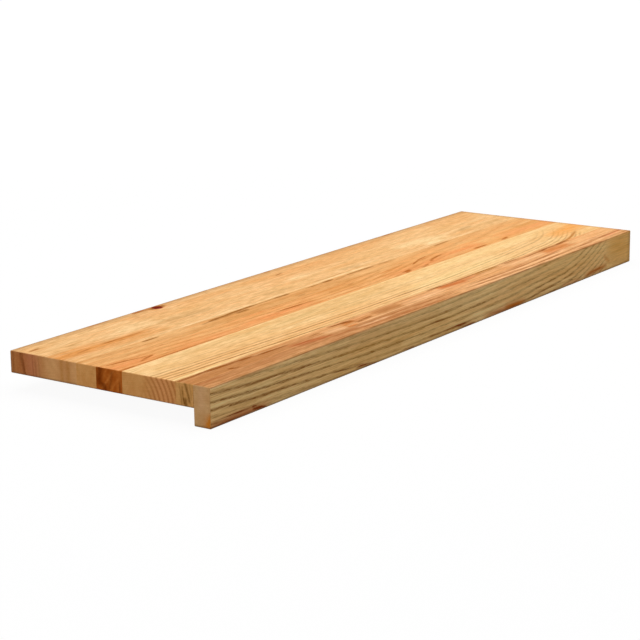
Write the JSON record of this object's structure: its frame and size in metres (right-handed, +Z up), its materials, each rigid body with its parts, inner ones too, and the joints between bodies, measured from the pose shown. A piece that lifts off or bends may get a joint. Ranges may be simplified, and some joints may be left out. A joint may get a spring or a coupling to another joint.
{
  "type": "stair tread",
  "caption": "Flat board of wooden staves glued edge to edge, with an upright strip along the front that hangs below it as a lip, laid over a worn step as its new tread.",
  "frame": {"origin": "under the middle of the tread, half way along its length and its depth, level with the underside of the lip", "axes": "+X along the length; -Y to the front, out of the nosing's face; +Z up, out of the walking surface"},
  "size_m": [0.8, 0.23, 0.037],
  "materials": {
    "pale_oak": "sanded, thin clear oil",
    "tan_oak": "sanded, thin clear oil",
    "dark_oak": "sanded, thin clear oil",
    "yellow_oak": "sanded, thin clear oil",
    "salmon_oak": "sanded, thin clear oil",
    "nosing_oak": "sanded, thin clear oil"
  },
  "bodies": {
    "root": {"stave_1_back": "pale_oak", "stave_2_narrow": "tan_oak", "stave_3_dark": "dark_oak", "stave_4_wide": "yellow_oak", "stave_5_front": "salmon_oak", "nosing_strip": "nosing_oak"}
  },
  "joints": []
}
